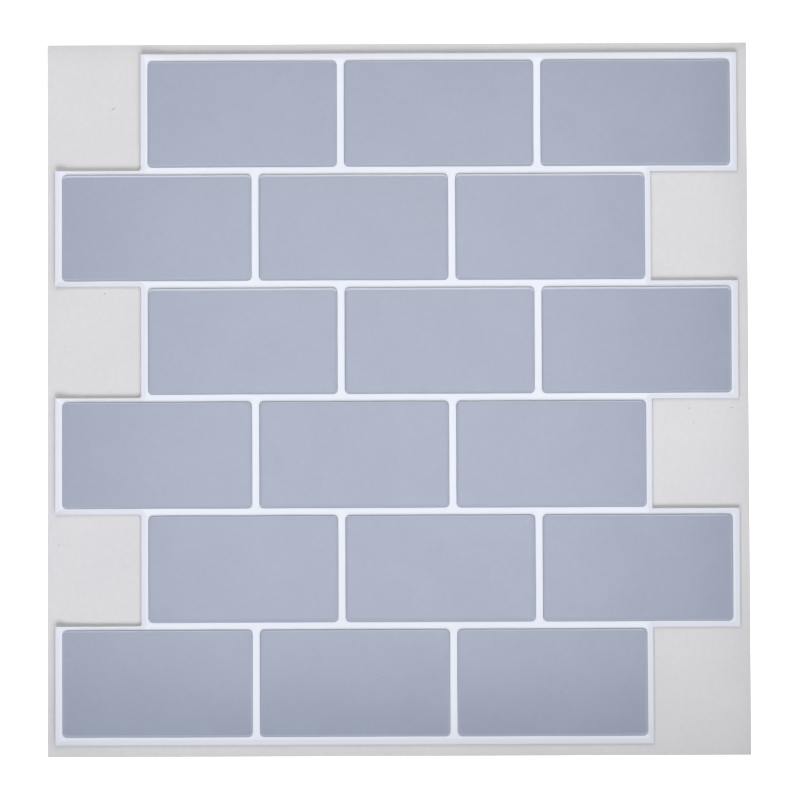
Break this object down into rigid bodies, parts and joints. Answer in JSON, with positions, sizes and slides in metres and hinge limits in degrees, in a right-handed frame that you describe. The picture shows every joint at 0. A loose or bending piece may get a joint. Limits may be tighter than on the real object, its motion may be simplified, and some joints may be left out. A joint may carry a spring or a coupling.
{
  "type": "self-adhesive wall tile sheet",
  "caption": "Flat self-adhesive wall tile sheet: domed glossy rectangular gel tiles in running bond on a stepped white film, with its release liner.",
  "frame": {"origin": "middle of the release liner's underside, where the sheet lies on the floor", "axes": "+X along the rows of tiles, to the right in the picture; +Y up the sheet, towards the top of the picture; +Z out of the tiled face"},
  "size_m": [0.305, 0.31, 0.0018],
  "materials": {
    "release_liner": "matte",
    "base_film": "satin",
    "gel_tile": "gloss"
  },
  "bodies": {
    "root": {"release_liner": "release_liner", "base_film": "base_film", "gel_tile_row1_col1": "gel_tile", "gel_tile_row1_col2": "gel_tile", "gel_tile_row1_col3": "gel_tile", "gel_tile_row2_col1": "gel_tile", "gel_tile_row2_col2": "gel_tile", "gel_tile_row2_col3": "gel_tile", "gel_tile_row3_col1": "gel_tile", "gel_tile_row3_col2": "gel_tile", "gel_tile_row3_col3": "gel_tile", "gel_tile_row4_col1": "gel_tile", "gel_tile_row4_col2": "gel_tile", "gel_tile_row4_col3": "gel_tile", "gel_tile_row5_col1": "gel_tile", "gel_tile_row5_col2": "gel_tile", "gel_tile_row5_col3": "gel_tile", "gel_tile_row6_col1": "gel_tile", "gel_tile_row6_col2": "gel_tile", "gel_tile_row6_col3": "gel_tile"}
  },
  "joints": []
}
